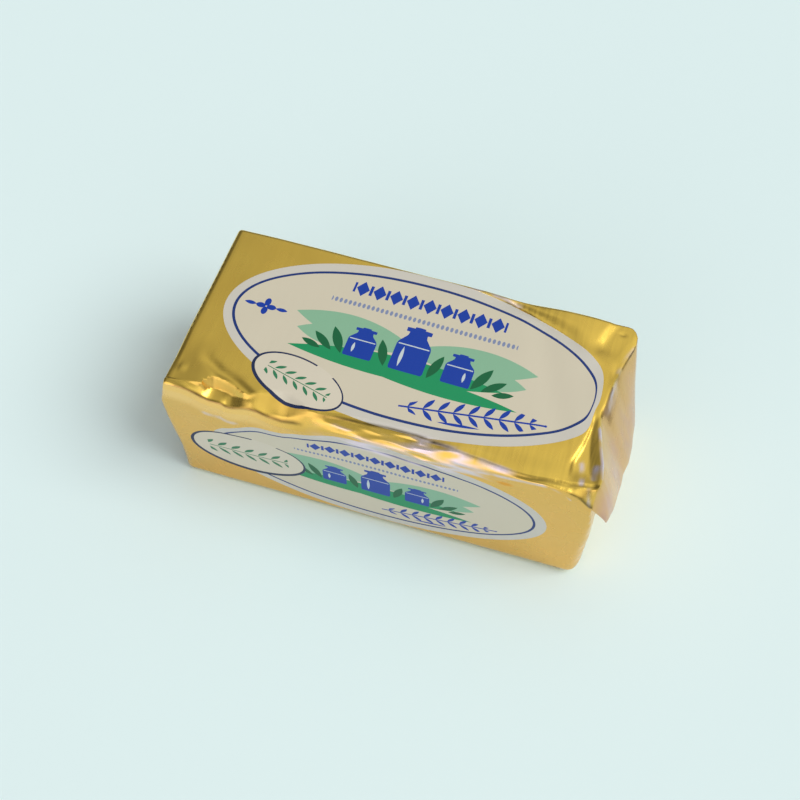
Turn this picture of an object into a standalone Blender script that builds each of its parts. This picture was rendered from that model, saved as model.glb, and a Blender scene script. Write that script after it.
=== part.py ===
"""A 250 g block of butter in its foil: a brick with envelope folds at both ends.

One top corner is pressed in, the front top edge is crumpled, and the top flap
of one end has come loose and hangs away from it.
"""

import math

import bmesh
import bpy
from mathutils import Matrix, Vector

MM = 0.001

# The brick without its loose flap: X along it, Y across it, Z up from its base
BLOCK_LENGTH = 114.6 * MM
BLOCK_WIDTH = 54.6 * MM
BLOCK_HEIGHT = 44.4 * MM
HALF_LENGTH = BLOCK_LENGTH / 2
HALF_WIDTH = BLOCK_WIDTH / 2

# Roundness of the edges
TOP_RADIUS = 1.2 * MM
BASE_RADIUS = 2.2 * MM
BASE_RADIUS_RIGHT = 3.6 * MM
SHOULDER_RADIUS = 3.4 * MM
SHOULDER_MIDDLE_X = -2.0 * MM

# Grid of the surface: how many cells each side has, and how far they gather at its ends
CELLS_LONG = 42
CELLS_WIDE = 22
CELLS_HIGH = 18
GATHER = 0.68

# Swelling of the two ends, of the top and of the back's top edge
LEFT_SWELL = 2.3 * MM
LEFT_SWELL_AT_BACK = 0.6
LEFT_SWELL_HEIGHT = 33.0 * MM
LEFT_SWELL_REACH_UP = 14.0 * MM
LEFT_SWELL_REACH_DOWN = 28.0 * MM
RIGHT_SWELL = 0.5 * MM
RIGHT_SWELL_HEIGHT = 25.0 * MM
RIGHT_SWELL_REACH = 20.0 * MM
TOP_SWELL = 0.35 * MM
BACK_SWELL = 0.5 * MM
BACK_SWELL_X = -28.0 * MM
BACK_SWELL_REACH = 48.0 * MM

# The hollow that the loose flap leaves in the right end's top edge
DISH_DEPTH = 3.9 * MM
DISH_CENTRE_Y = -5.0 * MM
DISH_HALF_WIDTH = 25.0 * MM
DISH_FALL = 26.0 * MM
DISH_ON_TOP = 9.0 * MM

# The pressed front left corner: the pocket in the top, and the edge under it
DENT_CENTRE = Vector((-42.5 * MM, -26.0 * MM))
DENT_REACH_X = 10.0 * MM
DENT_REACH_Y = 6.0 * MM
DENT_DEPTH = 2.9 * MM

# The crumpled front top edge: a valley behind it and waves along it
VALLEY_Y = -23.4 * MM
VALLEY_HALF_WIDTH = 2.6 * MM
VALLEY_DEPTH = 0.8 * MM
VALLEY_START = -22.0 * MM
VALLEY_END = 30.0 * MM
WAVE_LENGTH = 13.0 * MM
WAVE_HEIGHT = 0.5 * MM

# The facet of foil at the back right corner, past a fold across the top
FACET_FOLD_START = Vector((53.5 * MM, 27.3 * MM))
FACET_FOLD_END = Vector((44.5 * MM, 8.0 * MM))
FACET_SLOPE = 0.16
FACET_DROP = 1.3 * MM

# The dip in the back top edge
BACK_DIP_X = 25.5 * MM
BACK_DIP_REACH = 13.0 * MM
BACK_DIP_DEPTH = 1.1 * MM
BACK_DIP_WIDTH = 7.0 * MM

# The seam under the base, where the two long edges of the sheet overlap
SEAM_Y = 6.0 * MM
SEAM_DEPTH = 0.5 * MM
SEAM_HALF_WIDTH = 0.8 * MM
BASE_LEVEL = 0.01 * MM

# The end flaps: the sides of each run in at 45 degrees from the block's corners
FLAP_DEPTH = 25.0 * MM
FLAP_INSET = 1.6 * MM
FLAP_STEP = 0.4 * MM
FLAP_ROOT = 0.35 * MM
FLAP_BACKING = 1.2 * MM
FLAP_RISE_SHARE = 0.25
FLAP_CELLS_WIDE = 14
FLAP_CELLS_DEEP = 8

# The loose flap at the right end, from the fold at its top to its free edge
LOOSE_DROP = 16.4 * MM
LOOSE_FRONT_RISE = 6.4 * MM
LOOSE_FRONT_REACH = 15.0 * MM
LOOSE_REACH = 5.8 * MM
LOOSE_MIDDLE_Y = -5.0 * MM
LOOSE_FALL_WIDTH = 34.0 * MM
LOOSE_TOP = 0.25 * MM
LOOSE_ROOT = (26.3 * MM, -26.6 * MM)
LOOSE_TIP = (10.6 * MM, -26.4 * MM)
LOOSE_NOTCH_Y = -8.6 * MM
LOOSE_NOTCH_REACH = 4.5 * MM
LOOSE_NOTCH_DEPTH = 0.8 * MM
LOOSE_CURVE = 1.4
LOOSE_THICKNESS = 0.7 * MM
LOOSE_ROOT_THICKNESS = 2.1 * MM
LOOSE_ROOT_SHARE = 0.2
LOOSE_CELLS_WIDE = 24
LOOSE_CELLS_DEEP = 8

FLAT_ENOUGH = math.radians(0.05)
SHARP_FROM = math.radians(35)


def smooth(share):
    """Eases from 0 to 1 as the share goes from 0 to 1."""
    share = min(max(share, 0.0), 1.0)
    return share * share * (3.0 - 2.0 * share)


def hill(distance, reach):
    """1 at no distance, and down smoothly to 0 at the reach."""
    return smooth(1.0 - abs(distance) / reach)


def between(start, end, share):
    return start + (end - start) * share


def grid_places(cells):
    """Places of grid lines from -1 to 1, closer together towards both ends."""
    places = []
    for index in range(cells + 1):
        share = 2.0 * index / cells - 1.0
        places.append(between(share, math.sin(share * math.pi / 2), GATHER))
    return places


def edge_radius(point):
    """Roundness of the edge nearest to a point of the brick."""
    rightness = smooth(0.5 + point.x / BLOCK_LENGTH)
    base = between(BASE_RADIUS, BASE_RADIUS_RIGHT, rightness)
    radius = between(base, TOP_RADIUS, smooth(point.z / BLOCK_HEIGHT))
    in_front = smooth(-2.0 * point.y / HALF_WIDTH - 1.0)
    high_up = smooth(2.0 * point.z / BLOCK_HEIGHT - 1.0)
    along = hill(point.x - SHOULDER_MIDDLE_X, HALF_LENGTH)
    return between(radius, SHOULDER_RADIUS, in_front * high_up * along)


def rounded(point):
    """A point of the square-edged brick, moved onto its rounded edges."""
    radius = edge_radius(point)
    core = Vector(
        (
            min(max(point.x, radius - HALF_LENGTH), HALF_LENGTH - radius),
            min(max(point.y, radius - HALF_WIDTH), HALF_WIDTH - radius),
            min(max(point.z, radius), BLOCK_HEIGHT - radius),
        )
    )
    return core + (point - core).normalized() * radius


def dish(y):
    """How far the right end's top edge is pressed in, at a place across the block."""
    return DISH_DEPTH * hill(y - DISH_CENTRE_Y, DISH_HALF_WIDTH)


def top_drop(x, y):
    """How far the foil lies below the flat top, at a place on it."""
    drop = -TOP_SWELL * hill(x, HALF_LENGTH) * hill(y, HALF_WIDTH)
    dent_x = (x - DENT_CENTRE.x) / DENT_REACH_X
    dent_y = (y - DENT_CENTRE.y) / DENT_REACH_Y
    drop += DENT_DEPTH * hill(math.hypot(dent_x, dent_y), 1.0)
    along_valley = smooth((x - VALLEY_START) / WAVE_LENGTH) * smooth((VALLEY_END - x) / WAVE_LENGTH)
    drop += VALLEY_DEPTH * along_valley * hill(y - VALLEY_Y, VALLEY_HALF_WIDTH)
    fold = FACET_FOLD_END - FACET_FOLD_START
    across = Vector((-fold.y, fold.x)).normalized()
    past_fold = across.dot(Vector((x, y)) - FACET_FOLD_START)
    beside = smooth((y - FACET_FOLD_END.y) / (FACET_FOLD_START.y - FACET_FOLD_END.y))
    drop += min(max(past_fold, 0.0) * FACET_SLOPE, FACET_DROP) * beside
    at_back = hill(y - HALF_WIDTH, BACK_DIP_WIDTH)
    drop += BACK_DIP_DEPTH * hill(x - BACK_DIP_X, BACK_DIP_REACH) * at_back
    return drop


def end_swell(point):
    """How far an end of the block bulges along X, at a point of it."""
    above = point.z - LEFT_SWELL_HEIGHT
    reach = LEFT_SWELL_REACH_UP if above > 0.0 else LEFT_SWELL_REACH_DOWN
    backness = smooth(0.5 + point.y / BLOCK_WIDTH)
    left = -LEFT_SWELL * between(1.0, LEFT_SWELL_AT_BACK, backness) * hill(above, reach)
    right = RIGHT_SWELL * hill(point.z - RIGHT_SWELL_HEIGHT, RIGHT_SWELL_REACH)
    leftness = smooth(-2.0 * point.x / HALF_LENGTH - 1.0)
    rightness = smooth(2.0 * point.x / HALF_LENGTH - 1.0)
    return left * leftness + right * rightness


def shaped(point):
    """A point of the rounded brick, moved to where use and wrapping have left it."""
    height = point.z / BLOCK_HEIGHT
    high_up = smooth(2.0 * height - 1.0)
    moved = point.copy()
    moved.z -= top_drop(point.x, point.y) * high_up
    moved.x += end_swell(point)
    at_back = smooth(2.0 * point.y / HALF_WIDTH - 1.0)
    moved.y += BACK_SWELL * hill(point.x - BACK_SWELL_X, BACK_SWELL_REACH) * at_back * high_up
    to_end = HALF_LENGTH - point.x
    near_end = hill(max(to_end, 0.0), DISH_ON_TOP)
    near_top = hill(BLOCK_HEIGHT - point.z, DISH_FALL)
    moved.x -= dish(point.y) * near_end * near_top
    near_front = hill(point.y + HALF_WIDTH, 2 * SHOULDER_RADIUS)
    shoulder = near_front * hill(BLOCK_HEIGHT - point.z, 2 * SHOULDER_RADIUS)
    wave = math.sin(2 * math.pi * point.x / WAVE_LENGTH) * hill(point.x, HALF_LENGTH)
    moved.y += WAVE_HEIGHT * (1.0 + wave) / 2 * shoulder
    if point.z < BASE_LEVEL and abs(point.y - SEAM_Y) < SEAM_HALF_WIDTH:
        moved.z += SEAM_DEPTH
    return moved


def object_from(mesh_data, name):
    """A new object in the scene that holds the finished bmesh."""
    bmesh.ops.recalc_face_normals(mesh_data, faces=mesh_data.faces)
    mesh = bpy.data.meshes.new(name)
    mesh_data.to_mesh(mesh)
    mesh_data.free()
    made = bpy.data.objects.new(name, mesh)
    bpy.context.scene.collection.objects.link(made)
    return made


def grid_face(mesh_data, corner_points, rows):
    """Quads between rows of points that have the same count each."""
    for below, above in zip(rows, rows[1:]):
        for left in range(len(below) - 1):
            loop = (below[left], below[left + 1], above[left + 1], above[left])
            mesh_data.faces.new([corner_points[key] for key in loop])


def make_brick():
    """The wrapped brick: a grid on all six sides, rounded and then shaped."""
    xs = [place * HALF_LENGTH for place in grid_places(CELLS_LONG)]
    ys = [place * HALF_WIDTH for place in grid_places(CELLS_WIDE)]
    nearest = min(range(len(ys)), key=lambda index: abs(ys[index] - SEAM_Y))
    ys[nearest] = SEAM_Y
    ys = sorted(ys + [SEAM_Y - SEAM_HALF_WIDTH, SEAM_Y + SEAM_HALF_WIDTH])
    zs = [(place + 1) * BLOCK_HEIGHT / 2 for place in grid_places(CELLS_HIGH)]
    last_x, last_y, last_z = len(xs) - 1, len(ys) - 1, len(zs) - 1
    mesh_data = bmesh.new()
    points = {}
    for i, x in enumerate(xs):
        for j, y in enumerate(ys):
            for k, z in enumerate(zs):
                if i in (0, last_x) or j in (0, last_y) or k in (0, last_z):
                    points[i, j, k] = mesh_data.verts.new(shaped(rounded(Vector((x, y, z)))))
    for k in (0, last_z):
        grid_face(mesh_data, points, [[(i, j, k) for i in range(last_x + 1)] for j in range(last_y + 1)])
    for j in (0, last_y):
        grid_face(mesh_data, points, [[(i, j, k) for i in range(last_x + 1)] for k in range(last_z + 1)])
    for i in (0, last_x):
        grid_face(mesh_data, points, [[(i, j, k) for j in range(last_y + 1)] for k in range(last_z + 1)])
    bmesh.ops.recalc_face_normals(mesh_data, faces=mesh_data.faces)
    bmesh.ops.dissolve_limit(
        mesh_data,
        angle_limit=FLAT_ENOUGH,
        verts=[vert for vert in mesh_data.verts if vert.co.z < SEAM_DEPTH],
        edges=[edge for edge in mesh_data.edges if max(end.co.z for end in edge.verts) < SEAM_DEPTH],
    )
    return object_from(mesh_data, "wrapped_block")


def make_sheet(name, cells_wide, cells_deep, outer_point, inner_point):
    """A closed thin piece between two surfaces, each a function of two shares."""
    mesh_data = bmesh.new()
    points = {}
    for side, place in enumerate((outer_point, inner_point)):
        for row in range(cells_deep + 1):
            for column in range(cells_wide + 1):
                where = place(column / cells_wide, row / cells_deep)
                points[side, row, column] = mesh_data.verts.new(where)
    for side in (0, 1):
        rows = [[(side, row, column) for column in range(cells_wide + 1)] for row in range(cells_deep + 1)]
        grid_face(mesh_data, points, rows)
    for row in (0, cells_deep):
        rows = [[(side, row, column) for column in range(cells_wide + 1)] for side in (0, 1)]
        grid_face(mesh_data, points, rows)
    for column in (0, cells_wide):
        rows = [[(side, row, column) for row in range(cells_deep + 1)] for side in (0, 1)]
        grid_face(mesh_data, points, rows)
    return object_from(mesh_data, name)


def make_end_flap(name, end, start_height, way, lift):
    """A flap folded flat on an end: end is -1 for left, 1 for right; way is -1 down, 1 up."""

    def at(across, down, out):
        half_width = HALF_WIDTH - FLAP_INSET - down * FLAP_DEPTH
        y = between(-half_width, half_width, across)
        z = start_height + way * down * FLAP_DEPTH
        face = shaped(Vector((end * HALF_LENGTH, y, z)))
        return Vector((face.x + end * out, y, z))

    def outer(across, down):
        return at(across, down, between(-FLAP_ROOT, lift, smooth(down / FLAP_RISE_SHARE)))

    def inner(across, down):
        return at(across, down, -FLAP_BACKING)

    return make_sheet(name, FLAP_CELLS_WIDE, FLAP_CELLS_DEEP, outer, inner)


def make_loose_flap():
    """The top flap of the right end, which hangs out from its fold in a shallow curve."""

    def at(across, down, inward):
        back = between(LOOSE_ROOT[0], LOOSE_TIP[0], down)
        front = between(LOOSE_ROOT[1], LOOSE_TIP[1], down)
        y = between(back, front, across)
        fold_x = HALF_LENGTH - dish(y)
        free_x = HALF_LENGTH + LOOSE_REACH * (1.0 - ((y - LOOSE_MIDDLE_Y) / LOOSE_FALL_WIDTH) ** 2)
        free_x -= LOOSE_NOTCH_DEPTH * hill(y - LOOSE_NOTCH_Y, LOOSE_NOTCH_REACH)
        share_out = 1.0 - (1.0 - down) ** LOOSE_CURVE
        x = between(fold_x, free_x, share_out) - inward
        fold_z = BLOCK_HEIGHT - LOOSE_TOP - top_drop(fold_x, y)
        drop = LOOSE_DROP - LOOSE_FRONT_RISE * hill(y + HALF_WIDTH, LOOSE_FRONT_REACH)
        return Vector((x, y, fold_z - drop * down))

    def outer(across, down):
        return at(across, down, 0.0)

    def inner(across, down):
        rootward = smooth(down / LOOSE_ROOT_SHARE)
        return at(across, down, between(LOOSE_ROOT_THICKNESS, LOOSE_THICKNESS, rootward))

    return make_sheet("loose_flap", LOOSE_CELLS_WIDE, LOOSE_CELLS_DEEP, outer, inner)


def join(block, addition):
    """Unites an addition with the block and removes the addition's own object."""
    union = block.modifiers.new("join_" + addition.name, "BOOLEAN")
    union.operation = "UNION"
    union.solver = "EXACT"
    union.object = addition
    bpy.context.view_layer.objects.active = block
    bpy.ops.object.modifier_apply(modifier=union.name)
    bpy.data.objects.remove(addition, do_unlink=True)


def foil_material():
    """Gold-lacquered aluminium foil."""
    foil = bpy.data.materials.new("gold_foil")
    foil.use_nodes = True
    surface = foil.node_tree.nodes["Principled BSDF"]
    surface.inputs["Base Color"].default_value = (0.62, 0.42, 0.12, 1.0)
    surface.inputs["Metallic"].default_value = 0.9
    surface.inputs["Roughness"].default_value = 0.35
    return foil


def centre_on_base(block):
    """Puts the origin under the middle of the whole block, flap included."""
    xs = [vert.co.x for vert in block.data.vertices]
    ys = [vert.co.y for vert in block.data.vertices]
    zs = [vert.co.z for vert in block.data.vertices]
    middle = Vector(((min(xs) + max(xs)) / 2, (min(ys) + max(ys)) / 2, min(zs)))
    block.data.transform(Matrix.Translation(-middle))


def main():
    for left_over in list(bpy.data.objects):
        bpy.data.objects.remove(left_over, do_unlink=True)
    block = make_brick()
    top = BLOCK_HEIGHT - TOP_RADIUS
    join(block, make_end_flap("left_top_flap", -1, top, -1, FLAP_STEP))
    join(block, make_end_flap("left_base_flap", -1, BASE_RADIUS, 1, 2 * FLAP_STEP))
    join(block, make_end_flap("right_base_flap", 1, BASE_RADIUS_RIGHT, 1, FLAP_STEP))
    join(block, make_loose_flap())
    centre_on_base(block)
    block.data.materials.append(foil_material())
    block.data.shade_smooth()
    block.data.set_sharp_from_angle(angle=SHARP_FROM)


main()
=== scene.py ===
import math

import bpy
import numpy as np
from mathutils import Matrix, Vector, noise


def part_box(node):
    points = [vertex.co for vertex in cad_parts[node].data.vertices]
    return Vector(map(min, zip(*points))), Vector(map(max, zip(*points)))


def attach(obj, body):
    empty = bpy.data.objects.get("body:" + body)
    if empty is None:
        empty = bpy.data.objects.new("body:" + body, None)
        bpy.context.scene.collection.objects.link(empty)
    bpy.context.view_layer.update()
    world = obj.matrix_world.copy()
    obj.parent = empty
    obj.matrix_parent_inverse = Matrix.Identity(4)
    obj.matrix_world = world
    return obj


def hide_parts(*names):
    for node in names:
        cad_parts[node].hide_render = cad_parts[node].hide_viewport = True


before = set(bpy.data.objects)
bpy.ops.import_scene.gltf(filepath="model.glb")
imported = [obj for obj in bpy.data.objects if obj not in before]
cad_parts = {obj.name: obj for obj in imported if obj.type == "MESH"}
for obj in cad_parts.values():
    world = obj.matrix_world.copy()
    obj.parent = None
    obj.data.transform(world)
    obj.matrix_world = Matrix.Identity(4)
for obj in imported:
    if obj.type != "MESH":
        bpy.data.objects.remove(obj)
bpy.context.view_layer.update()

# The wrapper: one sheet of gold-lacquered aluminium foil with its labels printed on it, folded
# tight round 250 g of butter by machine. Handling has swollen its left end, pressed in one top
# corner, crumpled its front top edge and pulled the top flap of its right end loose.
MM = 0.001
LENGTH, WIDTH, HEIGHT = 114.6, 54.6, 44.4  # the brick in mm: X along, Y across, Z up
END, SIDE = LENGTH / 2, WIDTH / 2
LOOSE_REACH = 5.8
FLAP_ROWS = 24
# Where the mesh's rows lie, as shares of them all against mm: closest where the foil is creased
ROWS_LONG, LONG_SHARES, LONG_PLACES = 196, (0.0, 0.306, 0.796, 1.0), (-57.3, -32.0, 47.0, 57.3)
ROWS_WIDE, WIDE_SHARES, WIDE_PLACES = 100, (0.0, 0.30, 0.88, 1.0), (-27.3, -20.4, 23.6, 27.3)
ROWS_HIGH, HIGH_SHARES, HIGH_PLACES = 80, (0.0, 0.10, 0.58, 1.0), (0.0, 2.6, 34.0, 44.4)

block_low, block_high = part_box("wrapped_block")
brick_x = block_high.x - (END + LOOSE_REACH) * MM
brick_y = block_low.y + SIDE * MM


def smooth(share):
    """Eases from 0 to 1 as the share goes from 0 to 1."""
    share = np.clip(share, 0.0, 1.0)
    return share * share * (3.0 - 2.0 * share)


def hill(distance, reach):
    """1 at no distance, and down smoothly to 0 at the reach."""
    return smooth(1.0 - np.abs(distance) / reach)


def tent(distance, reach):
    """1 at no distance, and straight down to 0 at the reach, which leaves a crease."""
    return np.clip(1.0 - np.abs(distance) / reach, 0.0, 1.0)


def between(start, end, share):
    return start + (end - start) * share


def table(x, rows, column=1):
    """A column of a table at a place, which is the table's first column."""
    return np.interp(x, [row[0] for row in rows], [row[column] for row in rows])


def edit(piece, select_mode):
    """Enters edit mode on one piece with nothing selected."""
    bpy.ops.object.select_all(action="DESELECT")
    piece.select_set(True)
    bpy.context.view_layer.objects.active = piece
    bpy.ops.object.mode_set(mode="EDIT")
    bpy.ops.mesh.select_mode(type=select_mode)
    bpy.ops.mesh.select_all(action="DESELECT")


def cut_rows(piece, axis, rows):
    """Cuts every edge that runs along an axis into that many rows."""
    edit(piece, "EDGE")
    bpy.ops.object.mode_set(mode="OBJECT")
    for edge in piece.data.edges:
        start, end = (piece.data.vertices[index].co for index in edge.vertices)
        edge.select = abs(end[axis] - start[axis]) > 0.5
    bpy.ops.object.mode_set(mode="EDIT")
    bpy.ops.mesh.subdivide(number_cuts=rows - 1)
    bpy.ops.object.mode_set(mode="OBJECT")


def places_of(piece):
    """The piece's vertices as an array, a row each."""
    places = np.empty(len(piece.data.vertices) * 3)
    piece.data.vertices.foreach_get("co", places)
    return places.reshape(-1, 3)


def put_places(piece, places):
    piece.data.vertices.foreach_set("co", np.asarray(places, float).ravel())
    piece.data.update()


def near_path(x, y, path):
    """Distance from a bent line to each place, and the share of the line's length passed."""
    best = np.full(x.shape, 1e9)
    share = np.zeros(x.shape)
    lengths = [math.dist(a, b) for a, b in zip(path, path[1:])]
    passed = 0.0
    for (ax, ay), (bx, by), length in zip(path, path[1:], lengths):
        along = ((x - ax) * (bx - ax) + (y - ay) * (by - ay)) / length**2
        along = np.clip(along, 0.0, 1.0)
        distance = np.hypot(x - ax - along * (bx - ax), y - ay - along * (by - ay))
        nearer = distance < best
        best = np.where(nearer, distance, best)
        share = np.where(nearer, (passed + along * length) / sum(lengths), share)
        passed += length
    return best, share


def rough(places, size, seed, stretch=(1.0, 1.0, 1.0)):
    """Smooth random heights from -1 to 1, with lumps of about the given size."""
    shift = Vector((17.3, 5.9, 3.1)) * seed
    scale = Vector(stretch) / size
    return np.array([noise.noise(Vector(place) * scale + shift) for place in places])


def creased(places, size, seed, stretch=(1.0, 1.0, 1.0)):
    """Sharp-crested random folds from 0 to 1, of about the given size."""
    return 1.0 - np.abs(rough(places, size, seed, stretch)) * 2.0


bpy.ops.object.select_all(action="DESELECT")
bpy.ops.mesh.primitive_cube_add(size=1.0)
wrapper = bpy.context.object
wrapper.name = "foil_wrapper"
for axis, rows in enumerate((ROWS_LONG, ROWS_WIDE, ROWS_HIGH)):
    cut_rows(wrapper, axis, rows)
unit = places_of(wrapper) + 0.5
flat = np.stack([
    np.interp(unit[:, 0], LONG_SHARES, LONG_PLACES),
    np.interp(unit[:, 1], WIDE_SHARES, WIDE_PLACES),
    np.interp(unit[:, 2], HIGH_SHARES, HIGH_PLACES),
], axis=1)
put_places(wrapper, flat)

# The loose flap is drawn out of the strip of faces along the right end's top edge
edit(wrapper, "FACE")
bpy.ops.object.mode_set(mode="OBJECT")
top_row = np.unique(np.round(flat[:, 2], 4))[-2]
for face in wrapper.data.polygons:
    face.select = face.center.x > END - 0.01 and face.center.z > top_row
bpy.ops.object.mode_set(mode="EDIT")
for row in range(FLAP_ROWS):
    bpy.ops.mesh.extrude_region_move(TRANSFORM_OT_translate={"value": (1.0, 0.0, 0.0)})
bpy.ops.object.mode_set(mode="OBJECT")
flat = places_of(wrapper)

# Sizes of what use has left, in mm on the brick: the top is at z 44.4, the front at y -27.3. First
# the swollen left end: how far, its share at the back, its height, and its reach up and down
SWELL, SWELL_AT_BACK, SWELL_Z, SWELL_UP, SWELL_DOWN = 2.3, 0.6, 33.0, 14.0, 28.0
# How far down and how far along the top the right end is drawn in towards its fold
FOLD_FALL, FOLD_ON_TOP = 26.0, 9.0
# The right end's top edge, as x against y
FOLD_AT = (
    (-27.3, 56.3), (-24.9, 56.3), (-23.6, 56.8), (-21.2, 57.0), (-17.1, 56.3), (-12.9, 55.0),
    (-7.3, 53.5), (-4.5, 52.8), (-2.0, 52.7), (0.5, 53.2), (4.7, 53.5), (8.7, 54.0), (13.0, 54.9),
    (17.7, 56.1), (21.4, 57.1), (24.5, 57.0), (26.0, 56.3), (27.0, 55.2), (27.3, 54.0),
)
SEAM_Y = 6.0  # where the two edges of the sheet meet along the base
# Along the front: where the foil starts to fall, its step there, the step's slope, and how far the
# lip at the front face lies below the top
SHOULDER = (
    (-57.3, -26.0, 0.1, 1.0, 1.2), (-54.2, -25.8, 0.1, 1.0, 1.0), (-52.2, -25.4, 0.1, 1.0, 1.0),
    (-50.8, -25.0, 0.4, 1.4, 1.4), (-49.4, -24.8, 0.7, 1.4, 2.0), (-47.9, -24.6, 1.1, 1.4, 2.8),
    (-47.4, -24.4, 1.4, 1.8, 3.1), (-46.2, -22.2, 2.9, 1.8, 3.5), (-45.0, -21.5, 3.3, 1.8, 3.9),
    (-43.6, -21.6, 3.3, 1.8, 3.9), (-41.7, -21.9, 3.2, 1.8, 3.9), (-41.3, -22.0, 3.2, 1.8, 4.3),
    (-41.0, -22.1, 3.2, 1.8, 4.9), (-39.2, -22.7, 3.0, 1.8, 4.7), (-37.3, -23.5, 2.3, 1.8, 4.1),
    (-35.8, -24.3, 1.5, 1.8, 3.5), (-34.2, -23.6, 1.5, 0.7, 3.0), (-32.0, -22.6, 2.6, 0.7, 3.2),
    (-30.7, -21.8, 3.2, 0.7, 3.8), (-28.1, -20.8, 4.0, 0.7, 4.8), (-25.4, -20.5, 4.2, 0.7, 5.1),
    (-22.6, -21.8, 3.3, 0.7, 4.5), (-19.9, -23.8, 1.8, 0.9, 4.4), (-17.2, -24.8, 0.8, 1.2, 3.8),
    (-14.5, -24.5, 0.8, 1.1, 3.1), (-11.8, -24.1, 0.8, 1.0, 2.6), (-6.5, -23.6, 0.8, 0.8, 2.2),
    (0.0, -23.3, 0.8, 0.7, 2.1), (6.0, -23.1, 0.8, 0.7, 2.3), (12.0, -23.2, 0.9, 0.6, 2.5),
    (18.8, -24.2, 0.8, 0.6, 2.2), (26.0, -25.2, 0.4, 0.6, 1.5), (36.0, -26.1, 0.1, 0.6, 0.8),
    (44.0, -26.2, 0.1, 0.5, 0.3), (47.0, -25.7, 0.1, 0.5, 0.4), (49.7, -25.3, 0.1, 0.5, 0.8),
    (51.8, -24.9, 0.2, 0.5, 1.6), (53.4, -24.5, 0.2, 0.5, 2.8), (54.4, -24.3, 0.2, 0.5, 4.0),
    (55.6, -24.2, 0.3, 0.6, 5.2), (57.3, -24.2, 0.3, 0.6, 6.6),
)
# How round the lip is, and how far the front face leans in towards it
LIP_RADIUS = ((-57.3, 0.5), (-24.0, 0.5), (-16.0, 1.5), (20.0, 1.5), (36.0, 0.5), (57.3, 0.35))
LEAN = (
    (-57.3, 0.5), (-50.0, 0.6), (-34.0, 0.6), (-28.0, 0.8), (-20.0, 0.8), (-14.0, 0.5), (2.0, 0.6),
    (30.0, 0.4), (40.0, 0.1),
)
# Folds and creases of the top, each as the x and y of the points that it runs through
SWEEP = (
    (-51.0, -14.0), (-48.8, -17.0), (-44.3, -19.6), (-40.0, -21.0), (-36.6, -22.9), (-32.4, -25.6),
)
FRONT_SWELL = ((22.0, -23.4), (34.0, -24.6), (44.0, -24.4))
ROLL_CREASE = (
    (-18.5, -25.6), (-15.1, -25.0), (-10.1, -24.0), (-4.9, -23.6), (2.8, -23.0), (10.7, -23.0),
    (16.2, -24.0), (21.0, -24.2),
)
EDGE_CREASE = (
    (34.0, -26.9), (41.2, -26.5), (44.8, -25.9), (47.2, -25.5), (49.7, -25.3), (52.0, -24.7),
    (56.0, -23.9),
)
LABEL_BEND = ((32.0, 20.0), (36.0, 8.0), (43.0, -10.0))
FACET_FOLD = ((52.2, 27.3), (51.6, 26.2), (50.2, 22.7), (47.8, 16.1), (46.7, 13.8))
WEDGE = ((23.0, 25.6), (30.9, 22.6), (38.0, 20.0), (46.0, 14.5))
# The basin beside the right end's fold: x of its left wall against y
BASIN_WALL = ((-18.5, 47.9), (-13.1, 49.5), (-7.2, 50.7))


def fold_x(y):
    """Where the right end's top edge runs."""
    return table(y, FOLD_AT)


def pulled_in(x, y):
    """Where the top's x ends up, drawn in towards the right end's fold."""
    return x - (END - fold_x(y)) * hill(np.maximum(END - x, 0.0), FOLD_ON_TOP)


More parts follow.
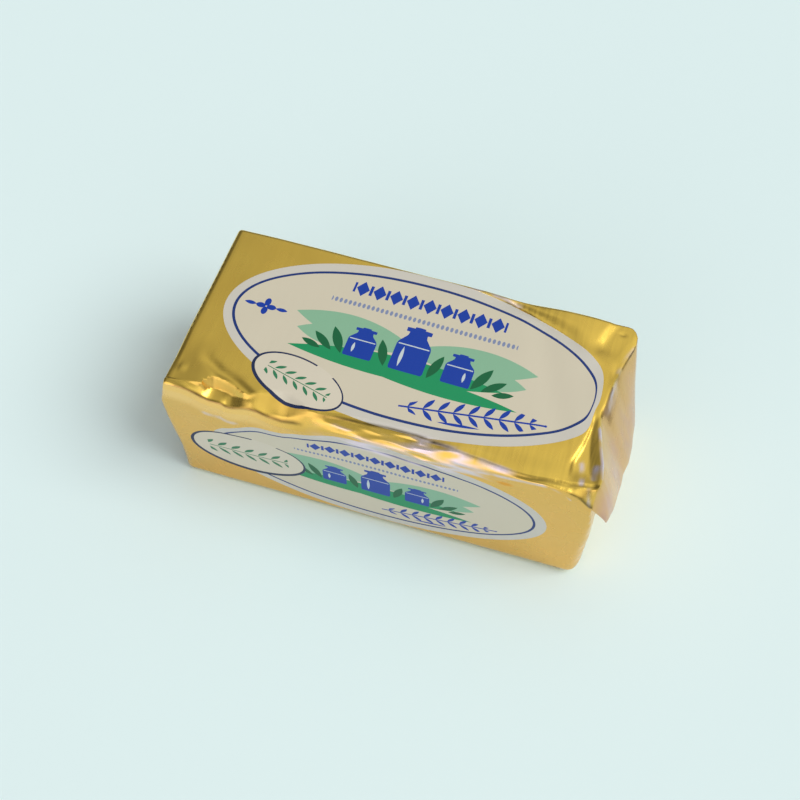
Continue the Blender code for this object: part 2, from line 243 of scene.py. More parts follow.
def top_drop(x, y):
    """How far the foil lies below the flat top, at a place on it."""
    drop = -0.3 * hill(x, END) * hill(y, SIDE)
    # the shoulder: a step, then a slope down to the lip
    start, step, slope, lip = (table(x, SHOULDER, column) for column in (1, 2, 3, 4))
    foot = start - step / slope
    beyond = np.clip((foot - y) / (foot + SIDE), 0.0, 1.0)
    drop += np.where(y > foot, np.maximum(start - y, 0.0) * slope, step + (lip - step) * beyond)
    # a little tuck standing in the pressed corner
    ridge = x + 40.9 - 0.05 * (y + 26.0)
    tuck = np.where(ridge > 0.0, tent(ridge, 0.6), smooth(1.0 + ridge / 0.3))
    drop -= 0.4 * tuck * smooth((-23.6 - y) / 1.2)
    # soft folds that run out from the pressed corner
    distance, share = near_path(x, y, SWEEP)
    drop += 0.5 * hill(distance, 2.1) * smooth(share * 3) * smooth((1 - share) * 6)
    drop += 0.6 * smooth((-46.0 - x) / 11.0) * smooth((-8.0 - y) / 12.0) * smooth((y + 27.0) / 2.0)
    drop -= 0.2 * hill(np.hypot((x + 54.3) * 1.4, (y + 21.1) * 0.8), 1.8)
    distance, _ = near_path(x, y, FRONT_SWELL)
    drop -= 0.3 * hill(distance, 5.5)
    # the creases behind the rolled front edge
    distance, share = near_path(x, y, ROLL_CREASE)
    drop += 0.6 * tent(distance, 1.3) * smooth(share * 6) * smooth((1 - share) * 5)
    distance, share = near_path(x, y, EDGE_CREASE)
    drop += 0.35 * tent(distance, 0.8) * smooth(share * 6)
    # the back right corner: a valley, and past it a facet that falls to the corner
    distance, share = near_path(x, y, FACET_FOLD)
    (ax, ay), (bx, by) = FACET_FOLD[0], FACET_FOLD[-1]
    past = ((x - ax) * (ay - by) - (y - ay) * (ax - bx)) / math.dist((ax, ay), (bx, by))
    valley = 0.65 * tent(distance, np.where(past > 0.0, 5.0, 2.6)) + 0.5 * tent(distance, 6.0)
    drop += valley * smooth((1 - share) * 2.5)
    drop += np.clip(past * 0.2, 0.0, 1.5) * smooth((y - 4.0) / 20.0)
    drop += 0.22 * hill(np.hypot(x - 53.0, (y - 24.2) * 1.5), 1.6)
    drop += 0.4 * hill(x - 53.4, 1.8) * hill(y - 10.0, 5.0)
    # the dip of the back edge and the wedge that runs from it
    drop += 1.1 * hill(x - 25.5, 13.0) * hill(y - SIDE, 7.0)
    distance, share = near_path(x, y, WEDGE)
    drop += 1.0 * tent(distance, between(1.2, 4.5, share)) * smooth((1 - share) * 2.5)
    # the basin beside the right end's fold, which itself stands a little proud
    wall = between(1.1, 1.8, smooth((-7.2 - y) / 11.0))
    basin = 0.5 * wall * smooth((x - table(y, BASIN_WALL)) / wall)
    basin *= smooth((-2.5 - y) / 4.5) * smooth((y + 25.5) / 6.0)
    drop += np.minimum(basin, 0.34 * (fold_x(y) - x) - 0.3 * smooth((-2.5 - y) / 4.5))
    # a broad shallow bend across the label
    distance, _ = near_path(x, y, LABEL_BEND)
    drop += 0.3 * hill(distance, 6.0)
    return drop


def edge_radius(x, y, z):
    """Roundness of the edge nearest to a place."""
    base = between(2.2, 3.6, smooth(0.5 + x / LENGTH))
    radius = between(base, 1.2, smooth(z / HEIGHT))
    at_right_top = smooth((x - END + 8.0) / 6.0) * smooth((z - HEIGHT + 8.0) / 6.0)
    radius = between(radius, 0.35, at_right_top)
    at_lip = smooth(-2.0 * y / SIDE - 1.0) * smooth(2.0 * z / HEIGHT - 1.0)
    return between(radius, table(x, LIP_RADIUS), at_lip)


def rounded(places):
    """The square brick's places, moved onto rounded edges."""
    radius = edge_radius(*places.T)
    core = np.stack([
        np.clip(places[:, 0], radius - END, END - radius),
        np.clip(places[:, 1], radius - SIDE, SIDE - radius),
        np.clip(places[:, 2], radius, HEIGHT - radius),
    ], axis=1)
    out = places - core
    return core + out * (radius / np.linalg.norm(out, axis=1))[:, None]


def crumpled(places):
    """The long narrow folds along the front top edge, from 0 to 1, and how strong they are."""
    x, y, z = places.T
    strength = smooth(1.4 * hill(np.hypot((y + 26.3) * 0.8, z - 42.2), 5.4) * hill(x - 8.0, 34.0))
    slanted = places + np.stack([0.0 * x, 0.0 * x, 0.12 * x], axis=1)
    folds = creased(slanted, 2.8, 5, (0.18, 1.0, 1.0)) * 0.6
    folds += creased(slanted, 1.5, 6, (0.15, 1.0, 1.0)) * 0.4
    return folds, strength


def rubbed_and_highlit(places):
    """How pale the foil is on its crests and folds, from 0 to 1: lacquer rubbed off to pale metal,
    which also paints in their highlights.
    """
    x, y, z = places.T
    folds, crumple = crumpled(places)
    patchy = smooth(0.8 + rough(places, 6.0, 12, (0.4, 1, 1)) * 2.0)
    pale_share = 0.8 * smooth((folds - 0.4) / 0.45) * smooth(crumple * 1.5) * patchy
    top_x = pulled_in(x, y)
    on_top = (z > HEIGHT - 0.1) & (x < END + 0.01)
    on_front = (y < 0.1 - SIDE) & (x < END + 0.01)
    # each pale line, a painted highlight: the face that it is on, the other axis, its points, width
    # and strength
    lines = (
        (on_top, y, tuple((at - 0.1, place) for place, at in FOLD_AT[3:7]), 0.7, 1.0),
        (on_top, y, ((57.0, 21.0), (55.4, 16.8), (54.3, 11.8)), 0.8, 0.35),
        (on_top, y, ((11.0, 26.9), (18.0, 26.2), (24.7, 25.2)), 0.9, 0.8),
        (on_top, y, ((51.2, -18.0), (52.0, -21.5), (52.2, -24.1)), 0.8, 0.8),
        (on_top, y, ((54.9, -18.6), (55.0, -21.4)), 1.1, 0.9),
        (on_top, y, ((54.4, -25.0), (55.4, -27.3)), 0.6, 0.9),
        (on_top, y, ((26.0, -25.6), (30.0, -26.1), (34.5, -26.5)), 1.0, 0.9),
        (on_front, z, ((14.0, 42.6), (26.0, 42.8), (34.0, 43.4), (44.0, 44.0)), 0.6, 0.7),
        (on_front, z, ((46.0, 43.8), (50.5, 41.8)), 0.5, 0.5),
        (on_front, z, ((-45.5, 37.2), (-42.0, 37.2), (-38.5, 36.4)), 1.3, 0.45),
    )
    broken = smooth(0.7 + rough(places, 3.5, 14) * 1.2)
    for where, other, path, width, strength in lines:
        distance, _ = near_path(np.where(where, top_x, x), other, path)
        streak = strength * smooth(1.2 - distance / width) * broken
        pale_share = np.maximum(pale_share, streak * where)
    # a painted highlight along the flap's side of the fold
    down = (x - END) / FLAP_ROWS
    on_flap = np.clip(down * 40.0, 0.0, 1.0) * hill(down - 0.06, 0.09)
    return np.maximum(pale_share, on_flap * hill(y - 4.5, 7.5) * smooth(0.8 + rough(places, 2.0, 16)))


def crease_shade(places):
    """How far painted shade darkens the creases along the front edge and the lip below them, from 0
    to 1.
    """
    x, y, z = places.T
    on_top = z > HEIGHT - 0.1
    distance, share = near_path(x, y, ROLL_CREASE)
    shade_share = tent(distance, 0.7) * smooth(share * 6) * smooth((1 - share) * 6) * on_top
    distance, share = near_path(pulled_in(x, y), y, EDGE_CREASE)
    shade_share = np.maximum(shade_share, 0.55 * tent(distance, 0.9) * smooth(share * 6) * on_top)
    lip = hill(y + SIDE, 0.8) * hill(z - HEIGHT, 0.7) * smooth((x + 55.5) / 2.0)
    lip *= smooth(np.maximum(-19.0 - x, x - 49.0) / 3.0)
    return np.maximum(shade_share, 0.85 * lip) * smooth(0.9 + rough(places, 3.0, 41))


def shaped(places):
    """The rounded brick's places, moved to where wrapping and use have left the foil."""
    x, y, z = places.T
    high = smooth(2.0 * z / HEIGHT - 1.0)
    moved = places.copy()
    moved[:, 0] = between(x, pulled_in(x, y), hill(HEIGHT - z, FOLD_FALL))
    moved[:, 2] -= top_drop(moved[:, 0], y) * high
    above = z - SWELL_Z
    swell = SWELL * between(1.0, SWELL_AT_BACK, smooth(0.5 + y / WIDTH))
    swell *= hill(above, np.where(above > 0.0, SWELL_UP, SWELL_DOWN))
    moved[:, 0] -= swell * smooth(-2.0 * x / END - 1.0)
    moved[:, 0] += 0.5 * hill(z - 25.0, 20.0) * smooth(2.0 * x / END - 1.0)
    moved[:, 1] += 0.45 * hill(x + 46.0, 50.0) * smooth(2.0 * y / SIDE - 1.0) * high
    at_front = smooth((-y - SIDE + 6.0) / 6.0)
    moved[:, 1] += table(x, LEAN) * np.clip((z - HEIGHT + 2.0) / 2.0, 0.0, 1.0) * at_front
    # the groove under the rolled edge, and wrinkles of the front face below it
    moved[:, 1] += 0.4 * tent(z - 42.3, 1.2) * hill(x + 10.0, 12.0) * at_front
    under_edge = smooth((z - 27.0) / 14.0) * smooth((-y - 20.0) / 7.0) * hill(x - 4.0, 46.0)
    ripple = 0.5 + 0.5 * rough(places, 5.0, 3, (0.8, 1.0, 1.6))
    moved[:, 1] += 0.5 * ripple * under_edge
    folds, crumple = crumpled(places)
    moved[:, 1] += 0.5 * (1.0 - folds) * crumple
    moved[:, 2] -= 0.5 * (1.0 - folds) * crumple
    # the sheet never lies quite flat
    moved[:, 2] -= 0.12 * rough(places, 11.0, 7) * high
    near_side = smooth(2.0 * np.abs(y) / SIDE - 1.0)
    moved[:, 1] += 0.06 * (1.0 + rough(places, 9.0, 8)) * np.sign(-y) * near_side
    # the tucked-in panels of the ends, creased towards the brick's corners
    at_end = smooth((np.abs(x) - END + 2.5) / 2.5)
    corner = smooth((np.abs(y) - 8.0) / 12.0)
    tucks = creased(places, 6.0, 21, (1.0, 0.8, 0.8)) * 0.6
    tucks += creased(places, 2.6, 22, (1.0, 0.5, 1.0)) * 0.4
    tucked = at_end * corner * smooth((HEIGHT - z) / 8.0)
    moved[:, 0] -= np.sign(x) * 0.35 * (1.0 - tucks) * tucked
    # the back face, pulled in folds towards its two top corners
    at_back = smooth((y - SIDE + 4.0) / 4.0)
    slanted = places + np.stack([0.5 * z, 0.0 * x, 0.0 * x], axis=1)
    pulled = creased(slanted, 4.5, 23, (0.5, 1.0, 1.0))
    at_corners = smooth((np.abs(x) - 34.0) / 16.0) * smooth((HEIGHT - z) / 3.0)
    moved[:, 1] -= 0.3 * (1.0 - pulled) * at_back * at_corners
    # the seam along the base
    moved[:, 2] += 0.5 * tent(y - SEAM_Y, 0.9) * (z < 0.01)
    moved[:, 1] = np.clip(moved[:, 1], -SIDE, SIDE + 0.4)
    moved[:, 2] = np.clip(moved[:, 2], 0.0, HEIGHT + 0.3)
    return moved


# The loose flap: its free edge, as x and z against y
FREE_EDGE = (
    (-27.2, 60.7, 34.2), (-25.5, 61.2, 33.2), (-22.0, 61.8, 31.6), (-17.0, 62.1, 29.6),
    (-12.5, 62.2, 28.4), (-9.0, 62.1, 28.1), (-5.0, 62.9, 28.0), (0.0, 62.9, 28.0),
    (7.3, 62.1, 28.0), (17.0, 60.5, 28.0), (27.2, 58.6, 28.0),
)


def flap_places(places):
    """Places of the loose flap: its strip goes out from the fold and hangs down in a curve."""
    down = (places[:, 0] - END) / FLAP_ROWS
    y = places[:, 1]
    across = (SIDE - y) / WIDTH
    new_y = between(between(27.2, 10.6, down), -27.2, across)
    root_x = fold_x(y)
    root_z = HEIGHT - 0.1 - top_drop(root_x, y)
    x = between(root_x, table(new_y, FREE_EDGE, 1), 1.0 - (1.0 - down) ** 1.4)
    z = between(root_z, np.minimum(table(new_y, FREE_EDGE, 2), root_z - 1.5), down)
    inner = places[:, 2] < HEIGHT - 0.01
    soft = rough(np.stack([x, new_y, z], axis=1), 6.0, 9, (1.0, 0.8, 0.5)) * 0.3 * smooth(down * 4)
    x = np.minimum(x + soft, END + LOOSE_REACH - 0.1) - 0.25 * inner
    z -= 0.12 * inner
    return np.stack([x, new_y, z], axis=1)


def put_shape(piece, places):
    """Puts a piece's vertices at places in mm on the brick."""
    put_places(piece, np.asarray(places) * MM + np.array([brick_x, brick_y, 0.0]))


on_flap = flat[:, 0] > END + 0.01
places = shaped(rounded(np.minimum(flat, [END, SIDE, HEIGHT])))
places[on_flap] = flap_places(flat[on_flap])
put_shape(wrapper, places)
edit(wrapper, "EDGE")
bpy.ops.mesh.edges_select_sharp(sharpness=math.radians(36.0))
bpy.ops.mesh.mark_sharp()
bpy.ops.object.mode_set(mode="OBJECT")


def sheet_map(piece, flat_places):
    """UV map in mm on the unrolled sheet: u along the brick, v round it from the front top edge."""
    layer = piece.data.uv_layers.new(name="sheet")
    corners = np.empty(len(piece.data.loops), int)
    piece.data.loops.foreach_get("vertex_index", corners)
    owner = np.empty(len(corners), int)
    middles = np.empty((len(piece.data.polygons), 3))
    for index, face in enumerate(piece.data.polygons):
        owner[face.loop_start:face.loop_start + face.loop_total] = index
        middles[index] = flat_places[list(face.vertices)].mean(axis=0)
    middle = middles[owner]
    x, y, z = flat_places[corners].T
    on_end = np.abs(middle[:, 0]) > END - 0.001
    on_front = ~on_end & (middle[:, 1] < 0.001 - SIDE)
    on_back = ~on_end & (middle[:, 1] > SIDE - 0.001)
    below = ~on_end & (middle[:, 2] < 0.001)
    v = np.where(on_front, z - HEIGHT, y + SIDE)
    v = np.where(on_back, WIDTH + HEIGHT - z, v)
    v = np.where(below & (middle[:, 1] > SEAM_Y), WIDTH + HEIGHT + SIDE - y, v)
    v = np.where(below & (middle[:, 1] <= SEAM_Y), -HEIGHT - y - SIDE, v)
    u = np.where(on_end & (np.abs(x) <= END), np.sign(x) * (END + HEIGHT - z), x)
    layer.data.foreach_set("uv", np.stack([u, v], axis=1).ravel())


def store_marks(piece, worn_and_highlit, loose, painted_shade):
    """Stores at each vertex how pale its rubbed lacquer and painted highlight are, how far down the
    loose flap it is, and how dark its painted crease shade is.
    """
    for name, values in (("worn_and_highlit", worn_and_highlit), ("loose", loose), ("painted_shade", painted_shade)):
        piece.data.attributes.new(name, "FLOAT", "POINT").data.foreach_set("value", values)
    for face in piece.data.polygons:
        face.use_smooth = True


sheet_map(wrapper, flat)
down_flap = np.clip((flat[:, 0] - END) / FLAP_ROWS, 0.0, 1.0)
store_marks(wrapper, rubbed_and_highlit(flat), down_flap, crease_shade(flat) * ~on_flap)


def srgb(code):
    """Linear colour of an sRGB hex value."""
    shares = [int(code[place:place + 2], 16) / 255 for place in (0, 2, 4)]
    linear = [c / 12.92 if c <= 0.04045 else ((c + 0.055) / 1.055) ** 2.4 for c in shares]
    return (*linear, 1.0)


def node(kind, inputs=(), **settings):
    """Adds a node to the material in work. Inputs are values or other nodes' outputs."""
    made = tree.nodes.new("ShaderNode" + kind)
    for name, value in settings.items():
        setattr(made, name, value)
    sockets = [socket for socket in made.inputs if socket.enabled]
    for name, value in dict(inputs).items():
        at = name if isinstance(name, int) else [socket.name for socket in sockets].index(name)
        if isinstance(value, bpy.types.NodeSocket):
            tree.links.new(value, sockets[at])
        else:
            sockets[at].default_value = value
    return next(socket for socket in made.outputs if socket.enabled)


def placed(coords, place, size=(1.0, 1.0), turn=0.0):
    """The coordinates seen from a spot, with its half size as 1."""
    return node("Mapping", {"Vector": coords, "Location": (*place, 0.0), "Scale": (*size, 1.0),
                            "Rotation": (0.0, 0.0, math.radians(turn))}, vector_type="TEXTURE")


def parts(coords):
    return node("SeparateXYZ", {0: coords}).node.outputs[:2]


def oval(coords):
    """Above 0 inside an oval of half size 1."""
    return node("Math", {0: 1.0, 1: node("VectorMath", {0: coords}, operation="LENGTH")},
                operation="SUBTRACT")


def leaf(coords):
    """Above 0 inside a shape with two pointed ends."""
    x, y = parts(coords)
    width = node("Math", {0: node("Math", {0: x, 1: x}, operation="MULTIPLY"), 1: -1.0, 2: 1.0},
                 operation="MULTIPLY_ADD")
    height = node("Math", {0: y}, operation="ABSOLUTE")
    return node("Math", {0: width, 1: height}, operation="SUBTRACT")


def bar(coords):
    """Above 0 inside a rectangle of half size 1."""
    x, y = parts(node("VectorMath", {0: coords}, operation="ABSOLUTE"))
    farther = node("Math", {0: x, 1: y}, operation="MAXIMUM")
    return node("Math", {0: 1.0, 1: farther}, operation="SUBTRACT")


def turned(coords, outline):
    """Above 0 inside a lathe-turned shape: heights and half widths from 0 to 1."""
    x, y = parts(coords)
    width = node("FloatCurve", {"Value": y})
    curve = width.node.mapping.curves[0]
    for place, half in outline[1:-1]:
        curve.points.new(place, half)
    curve.points[0].location = outline[0]
    curve.points[-1].location = outline[-1]
    for point in curve.points:
        point.handle_type = "VECTOR"
    width.node.mapping.update()
    beside_axis = node("Math", {0: x}, operation="ABSOLUTE")
    return node("Math", {0: width, 1: beside_axis}, operation="SUBTRACT")


def any_of(*shapes):
    result = shapes[0]
    for shape in shapes[1:]:
        result = node("Math", {0: result, 1: shape}, operation="MAXIMUM")
    return result


def inside(*shapes):
    result = shapes[0]
    for shape in shapes[1:]:
        result = node("Math", {0: result, 1: shape}, operation="MINIMUM")
    return result


def without(shape, hole):
    return inside(shape, node("Math", {0: hole, 1: -1.0}, operation="MULTIPLY"))


def rows(coords, pitch):
    """The coordinates start anew after each step along."""
    x, y = parts(coords)
    x = node("Math", {0: x, 1: -pitch / 2, 2: pitch / 2}, operation="WRAP")
    return node("CombineXYZ", {0: x, 1: y})


def mirrored(coords, across=False):
    """The coordinates, the same on both sides of the middle line."""
    x, y = parts(coords)
    flipped = node("Math", {0: y if across else x}, operation="ABSOLUTE")
    return node("CombineXYZ", {0: x, 1: flipped} if across else {0: flipped, 1: y})


def full(shape):
    """1 where the shape is, 0 elsewhere."""
    return node("Math", {0: shape, 1: 0.0}, operation="GREATER_THAN")


def mixed(share, first, second, kind="RGBA"):
    return node("Mix", {"Factor": share, "A": first, "B": second}, data_type=kind)


def patches(size, low, high, detail=2.0, stretch=(1.0, 1.0, 1.0)):
    """Soft random patches of a size in mm, from 0 to 1."""
    spread = node("VectorMath", {0: node("TexCoord").node.outputs["Object"],
                                 1: tuple(1000.0 * part for part in stretch)}, operation="MULTIPLY")
    cloud = node("TexNoise", {"Vector": spread, "Scale": 1.0 / size, "Detail": detail})
    return node("MapRange", {"Value": cloud, "From Min": low, "From Max": high})


# Gold-lacquered aluminium foil: bright rolled metal under a satin lacquer, with opaque pale ink
# for the label ground and flat blue and green inks over it
gold_foil = bpy.data.materials.new("gold_lacquered_foil")
gold_foil.use_nodes = True
tree = gold_foil.node_tree
surface = tree.nodes["Principled BSDF"]
surface.inputs["Specular IOR Level"].default_value = 0.25
surface.inputs["Coat Weight"].default_value = 0.25
surface.inputs["Coat Roughness"].default_value = 0.15

sheet = node("UVMap", uv_map="sheet")
along, girth = parts(sheet)
on_front = node("Math", {0: girth, 1: 0.0}, operation="LESS_THAN")
on_back = node("Math", {0: girth, 1: WIDTH}, operation="GREATER_THAN")


def by_side(top, front, back):
    return mixed(on_back, mixed(on_front, top, front, "VECTOR"), back, "VECTOR")


# The label, in mm from its middle; the one on the sides is printed smaller
TOP_LABEL, TOP_TURN = (1.3, 29.0), -1.3
SIDE_LABEL, SIDE_TURN, SIDE_SCALE = (0.1, -21.9), 0.4, (0.863, 0.80)
label = by_side(
    placed(sheet, TOP_LABEL, (1.0, 0.992), TOP_TURN),
    placed(sheet, SIDE_LABEL, SIDE_SCALE, SIDE_TURN),
    placed(sheet, (-SIDE_LABEL[0], WIDTH - SIDE_LABEL[1]), SIDE_SCALE, 180.0 + SIDE_TURN),
)
ground = oval(placed(label, (0.45, 0.0), (53.05, 25.2)))
ring = without(oval(placed(label, (0.0, -0.1), (50.2, 22.3))),
               oval(placed(label, (0.0, -0.1), (49.4, 21.5))))
inner = oval(placed(label, (0.0, -0.1), (49.8, 21.9)))

# The oval badge laid over the ring's left part, with a pen-drawn outline left open at one place
badge = by_side(
    placed(sheet, (-24.3, 10.7), (13.6, 7.0), -15.5),
    placed(sheet, (-35.9, -25.7), (16.2, 9.1), 2.4),
    placed(sheet, (35.9, WIDTH + 25.7), (16.2, 9.1), 182.4),
)
badge_ground = oval(badge)
badge_line = without(oval(badge), oval(placed(badge, (0.01, 0.03), (0.952, 0.905))))
badge_line = without(badge_line, oval(placed(badge, (0.34, 0.93), (0.22, 0.22))))
sprig = placed(badge, (0.0, 0.0), (0.2, 0.2))
sprig_leaf = leaf(placed(mirrored(rows(sprig, 1.15), True), (0.1, 0.95), (0.85, 0.22), 58.0))
sprig_shape = inside(any_of(sprig_leaf, bar(placed(sprig, (0.0, 0.0), (3.4, 0.08)))),
                     bar(placed(sprig, (0.0, 0.0), (3.45, 2.4))))

# The picture: milk churns on a meadow between leaves, alike to the left and to the right
pair = mirrored(label)
sage = any_of(leaf(placed(pair, (16.0, 1.0), (17.5, 4.6), 5.0)),
              leaf(placed(pair, (22.0, -2.5), (9.5, 3.2))))
meadow = any_of(leaf(placed(label, (-3.0, -7.0), (29.0, 3.6), 3.0)),
                leaf(placed(label, (9.0, -9.6), (22.0, 2.2), -1.0)))
# A churn's outline: half widths at heights, both from 0 to 1
CHURN = (
    (0.0, 0.0), (0.004, 0.93), (0.05, 1.0), (0.55, 1.0), (0.62, 0.94), (0.78, 0.56), (0.86, 0.52),
    (0.868, 0.74), (0.955, 0.74), (0.96, 0.3), (0.995, 0.3), (1.0, 0.0),
)
big = placed(label, (0.0, -7.5), (4.7, 15.0))
small = placed(pair, (13.4, -7.2), (3.9, 10.0))
churns = any_of(turned(big, CHURN), turned(small, CHURN))
shine = any_of(
    leaf(placed(big, (-0.5, 0.3), (0.22, 0.1), 90.0)),
    bar(placed(big, (0.0, 0.57), (0.9, 0.012))),
    bar(placed(small, (0.0, 0.57), (0.9, 0.016))),
    leaf(placed(small, (0.45, 0.3), (0.16, 0.1), 90.0)),
)
leaves = any_of(
    leaf(placed(pair, (7.2, -3.4), (4.2, 1.25), 72.0)),
    leaf(placed(pair, (19.8, -3.2), (4.4, 1.3), 62.0)),
    leaf(placed(pair, (23.4, -4.6), (3.7, 1.1), 38.0)),
    leaf(placed(pair, (26.2, -6.3), (2.9, 0.9), 16.0)),
)

# Ornament above it: a row of lozenges with slim uprights, and a fine beaded rule below
band = rows(placed(label, (0.0, 15.1)), 4.75)
lozenge = placed(band, (0.0, 0.0), (1.85, 2.6))
band_x, band_y = parts(node("VectorMath", {0: lozenge}, operation="ABSOLUTE"))
lozenge = node("Math", {0: band_x, 1: band_y}, operation="ADD")
lozenge = node("Math", {0: 1.0, 1: lozenge}, operation="SUBTRACT")
upright = bar(placed(mirrored(band), (2.375, 0.0), (0.42, 1.7)))
band_shape = inside(any_of(lozenge, upright), bar(placed(label, (0.0, 15.1), (21.6, 2.8))))
beads = inside(oval(placed(rows(placed(label, (0.0, 9.6)), 1.3), (0.0, 0.0), (0.42, 0.8))),
               bar(placed(label, (0.0, 9.6), (26.0, 1.0))))

# A blossom at the left and a blue twig at the lower right
bloom = placed(label, (-41.7, 1.1))
petal = mirrored(mirrored(bloom), True)
blossom = any_of(
    oval(placed(petal, (1.5, 0.0), (1.3, 0.85))),
    oval(placed(petal, (0.0, 1.5), (0.85, 1.3))),
    leaf(placed(petal, (4.4, 0.0), (1.7, 0.6))),
)
twig = placed(label, (20.6, -14.6), (1.0, 1.0), 9.5)
twig_leaf = leaf(placed(mirrored(rows(twig, 3.9), True), (0.4, 1.75), (2.1, 0.62), 48.0))
twig_shape = inside(any_of(twig_leaf, bar(placed(twig, (0.0, 0.0), (19.0, 0.26)))),
                    leaf(placed(twig, (0.0, 0.0), (19.5, 4.6))))
underline = leaf(placed(label, (18.0, -18.6), (5.6, 0.42), 7.0))

INK_BLUE, INK_NAVY, INK_GREEN, INK_LEAF, INK_SAGE = (
    srgb(code) for code in ("0038a0", "123274", "0f8f5a", "006038", "86b596"))
colour = mixed(full(inner), srgb("cac7bd"), srgb("cfc8b3"))
for shape, ink in (
    (ring, INK_NAVY), (sage, INK_SAGE), (meadow, INK_GREEN), (leaves, INK_LEAF), (churns, INK_BLUE),
    (shine, srgb("c3d0d4")), (band_shape, INK_BLUE), (beads, srgb("7f8cae")), (blossom, INK_BLUE),
    (twig_shape, INK_BLUE), (underline, INK_BLUE), (badge_ground, srgb("d3ccba")),
    (badge_line, srgb("14264e")), (sprig_shape, srgb("2c7a54")),
):
    colour = mixed(full(shape), colour, ink)
printed = full(any_of(ground, badge_ground))

# Bare foil: olive gold where it lies level, made warmer on the steep sides by a painted warm
# reflection, and paler on the loose flap with a painted pink sheen
normal = node("TexCoord").node.outputs["Normal"]
level_share = node("Math", {0: parts(normal)[0].node.outputs["Z"]}, operation="ABSOLUTE")
steep_warm_reflection = node("MapRange", {"Value": level_share, "From Min": 0.75, "From Max": 0.25})
bare = mixed(steep_warm_reflection, srgb("edca5c"), srgb("efba5f"))
hang = node("Attribute", attribute_name="loose").node.outputs["Fac"]
loose = node("MapRange", {"Value": hang, "From Min": 0.0, "From Max": 0.04})
# a painted pale pink sheen on the loose flap, standing for its reflection of the key light
flap_sheen = mixed(patches(5.0, 0.35, 0.65, 2.0, (1.0, 1.0, 0.25)), srgb("efbf8e"), srgb("e2b49e"))
flap_sheen = mixed(node("MapRange", {"Value": hang, "From Min": 0.05, "From Max": 0.5}),
             srgb("eabb7c"), flap_sheen)
bare = mixed(loose, bare, flap_sheen)
cloudy = node("Math", {0: patches(14.0, 0.3, 0.7), 1: 0.25}, operation="MULTIPLY")
bare = mixed(cloudy, bare, srgb("d8b04a"))
# a painted highlight: a pale band along the left of the front's upper edge, standing for a
# reflection there; and an orange mark
near_edge = node("MapRange", {"Value": girth, "From Min": -7.5, "From Max": -4.5})
at_left = node("MapRange", {"Value": along, "From Min": -21.0, "From Max": -33.0})
bright_band = node("Math", {0: near_edge, 1: at_left}, operation="MULTIPLY")
bright_band = node("Math", {0: bright_band, 1: on_front}, operation="MULTIPLY")
bare = mixed(bright_band, bare, srgb("ffcd78"))
mark = node("MapRange", {"Value": oval(placed(sheet, (34.1, -3.9), (2.6, 1.1))), "From Max": 0.6})
bare = mixed(mark, bare, srgb("eda22e"))
# the row of small ticks that the wrapping machine's knife leaves along the left end's top edge
tick = rows(placed(sheet, (-57.0, SIDE), (1.0, 1.0), 90.0), 2.2)
tick = oval(placed(tick, (0.0, 0.0), (0.55, 0.24)))
tick = inside(tick, bar(placed(sheet, (-57.0, 33.0), (1.0, 16.0))))
bare = mixed(full(tick), bare, srgb("7d6424"))
colour = mixed(printed, bare, colour)
# lacquer rubbed off to the pale metal, which also stands for painted highlights on crests and
# folds, and painted shade darkening the creases
for name, left in (("worn_and_highlit", srgb("e6dcec")), ("painted_shade", srgb("594a22"))):
    colour = mixed(node("Attribute", attribute_name=name).node.outputs["Fac"], colour, left)
tree.links.new(colour, surface.inputs["Base Color"])
tree.links.new(node("Math", {0: 1.0, 1: printed}, operation="SUBTRACT"), surface.inputs["Metallic"])
rough_foil = mixed(patches(9.0, 0.35, 0.65), 0.2, 0.34, "FLOAT")
tree.links.new(mixed(printed, rough_foil, 0.42, "FLOAT"), surface.inputs["Roughness"])
# fine relief: a crinkle of about 4 mm, and streaks drawn along the brick, stronger to its right
crinkle = node("TexNoise", {"Vector": node("TexCoord").node.outputs["Object"], "Scale": 260.0,
                            "Detail": 4.0})
drawn = node("MapRange", {"Value": along, "From Min": -25.0, "From Max": 25.0,
                          "To Min": 0.35, "To Max": 1.8})
streaks = patches(2.2, 0.2, 0.8, 2.0, (1.0, 0.12, 0.3))
streaks = node("Math", {0: streaks, 1: mixed(printed, drawn, 0.5, "FLOAT")}, operation="MULTIPLY")
relief = node("Math", {0: crinkle, 1: 0.35, 2: streaks}, operation="MULTIPLY_ADD")
bump = node("Bump", {"Height": relief, "Strength": 0.35, "Distance": 0.00012})
tree.links.new(bump, surface.inputs["Normal"])
wrapper.data.materials.append(gold_foil)
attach(wrapper, "root")
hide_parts("wrapped_block")

# The flaps of the ends: the same foil, two layers thick, folded flat on the tucked-in panels. Each
# runs in at 45 degrees from the brick's corners to a blunt point, which springs up a little.
FLAP_DEPTH, FLAP_INSET, FLAP_THICK = 25.0, 1.6, 0.2


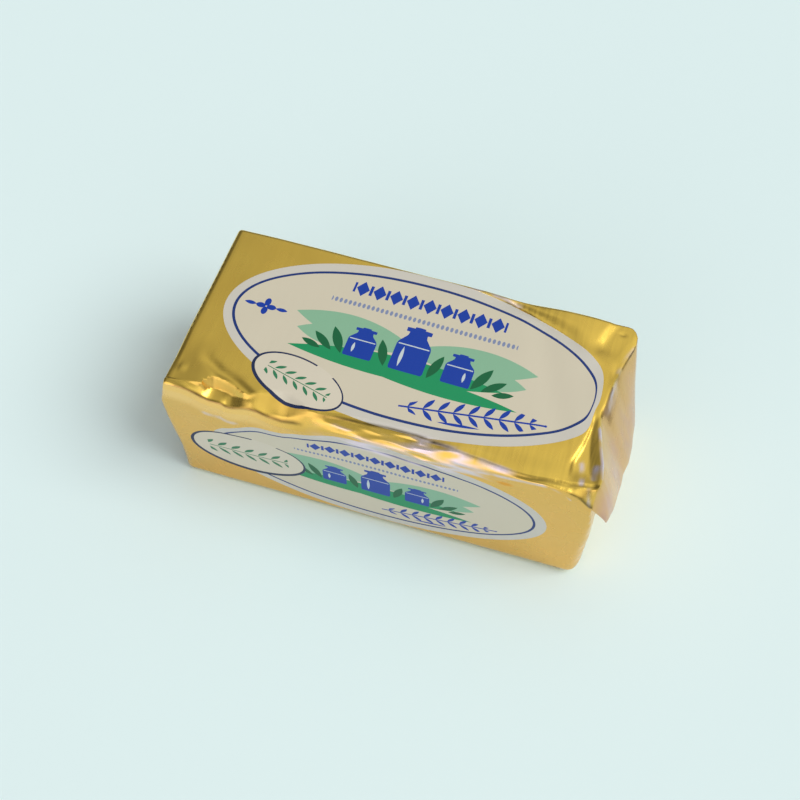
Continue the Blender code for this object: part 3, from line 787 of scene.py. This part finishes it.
def make_end_flap(name, end, start, way, lift):
    """A flap of an end: end is -1 for left, 1 for right; way is -1 down from the top, 1 up."""
    bpy.ops.object.select_all(action="DESELECT")
    bpy.ops.mesh.primitive_grid_add(x_subdivisions=72, y_subdivisions=44, size=1.0)
    flap = bpy.context.object
    flap.name = name
    across, down, _ = places_of(flap).T
    across = across * 2.0
    down = down + 0.5
    y = across * (SIDE - FLAP_INSET - down * FLAP_DEPTH)
    flat = np.stack([np.full(y.shape, end * END), y, start + way * down * FLAP_DEPTH], axis=1)
    places = shaped(rounded(flat))
    spring = 0.35 * down**2 + 0.12 * smooth((np.abs(across) - 0.8) / 0.2)
    crinkle = creased(flat, 5.0, 31 + start, (1.0, 0.5, 1.0)) * 0.14
    crinkle += rough(flat, 9.0, 33 + start) * 0.1
    rise = between(-0.3, lift, smooth(down * 6.0)) + (spring + crinkle) * smooth(down * 3.0)
    places[:, 0] += end * rise
    limit = END + (SWELL + 0.25 if end < 0 else 1.2)
    places[:, 0] = np.clip(places[:, 0], -limit, limit)
    put_shape(flap, places)
    sheet_map(flap, flat)
    edge = np.maximum(smooth((np.abs(across) - 0.86) / 0.14), smooth((down - 0.9) / 0.1))
    none = np.zeros(len(flat))
    store_marks(flap, 0.5 * edge * smooth(0.4 + rough(flat, 3.0, 35) * 1.5), none, none)
    layers = flap.modifiers.new("two_layers", "SOLIDIFY")
    layers.thickness = FLAP_THICK * MM
    layers.offset = -end * way
    bpy.ops.object.modifier_apply(modifier=layers.name)
    flap.data.materials.append(gold_foil)
    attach(flap, "root")
    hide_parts("wrapped_block")


make_end_flap("left_top_flap", -1, HEIGHT - 1.2, -1, 0.25)
make_end_flap("left_base_flap", -1, 2.2, 1, 0.5)
make_end_flap("right_base_flap", 1, 3.6, 1, 0.25)

# The floor: a plain pale studio sweep
bpy.ops.object.select_all(action="DESELECT")
bpy.ops.mesh.primitive_plane_add(size=24.0)
floor = bpy.context.object
floor.name = "studio_floor"
paper = bpy.data.materials.new("matt_backdrop_paper")
paper.use_nodes = True
surface = paper.node_tree.nodes["Principled BSDF"]
surface.inputs["Base Color"].default_value = (0.737, 0.895, 0.913, 1.0)
surface.inputs["Roughness"].default_value = 0.9
floor.data.materials.append(paper)

# The light: a dim even surround with four large soft lights in it, one high behind, a weaker one
# high in front, one in front at the right and one low in front, and a wide soft key at the right
world = bpy.data.worlds.new("studio")
bpy.context.scene.world = world
world.use_nodes = True
tree = world.node_tree
way = node("TexCoord").node.outputs["Generated"]
SURROUND = (0.14, 0.14, 0.15, 1.0)
# Each soft light: where it is, how near it a direction is where it starts and is full, its colour
SOFT_LIGHTS = (
    ((0.25, 0.40, 0.88), 0.60, 1.0, (0.87, 0.87, 0.82, 1.0)),
    ((-0.10, -0.55, 0.83), 0.80, 0.96, (0.46, 0.46, 0.44, 1.0)),
    ((0.56, -0.60, 0.57), 0.80, 0.98, (1.1, 1.07, 1.05, 1.0)),
    ((-0.30, -0.93, 0.20), 0.84, 0.95, (1.5, 1.38, 1.48, 1.0)),
)
glow = SURROUND
for spot, starts, whole, light in SOFT_LIGHTS:
    near = node("VectorMath", {0: way, 1: spot}, operation="DOT_PRODUCT")
    near = node("MapRange", {"Value": near, "From Min": starts, "From Max": whole})
    glow = mixed(near, glow, light)
tree.links.new(glow, tree.nodes["Background"].inputs["Color"])

sun = bpy.data.lights.new("key", "SUN")
sun.energy = 1.72
sun.angle = math.radians(40.0)
sun.color = (1.0, 0.99, 0.96)
key = bpy.data.objects.new("key", sun)
bpy.context.scene.collection.objects.link(key)
key.rotation_euler = Vector((0.66, 0.0, 0.75)).to_track_quat("Z", "Y").to_euler()

# The camera, fitted to the block's visible corners: angles in degrees, lengths in metres
AZIMUTH, ELEVATION, ROLL = (math.radians(angle) for angle in (16.524, 57.095, 0.807))
DISTANCE = 0.3607
TARGET = Vector((-0.005485 + brick_x, 0.013445 + brick_y, 0.0))
back = Vector((
    math.sin(AZIMUTH) * math.cos(ELEVATION),
    -math.cos(AZIMUTH) * math.cos(ELEVATION),
    math.sin(ELEVATION),
))
level = Vector((0, 0, 1)).cross(back).normalized()
upward = back.cross(level)
right = math.cos(ROLL) * level + math.sin(ROLL) * upward
up = math.cos(ROLL) * upward - math.sin(ROLL) * level
lens = bpy.data.cameras.new("camera")
lens.lens = 54.27
lens.sensor_width = 36.0
lens.clip_start = 0.01
camera = bpy.data.objects.new("camera", lens)
bpy.context.scene.collection.objects.link(camera)
turn = Matrix((right, up, back)).transposed().to_4x4()
camera.matrix_world = Matrix.Translation(TARGET + back * DISTANCE) @ turn
bpy.context.scene.camera = camera
bpy.context.scene.view_settings.view_transform = "Standard"
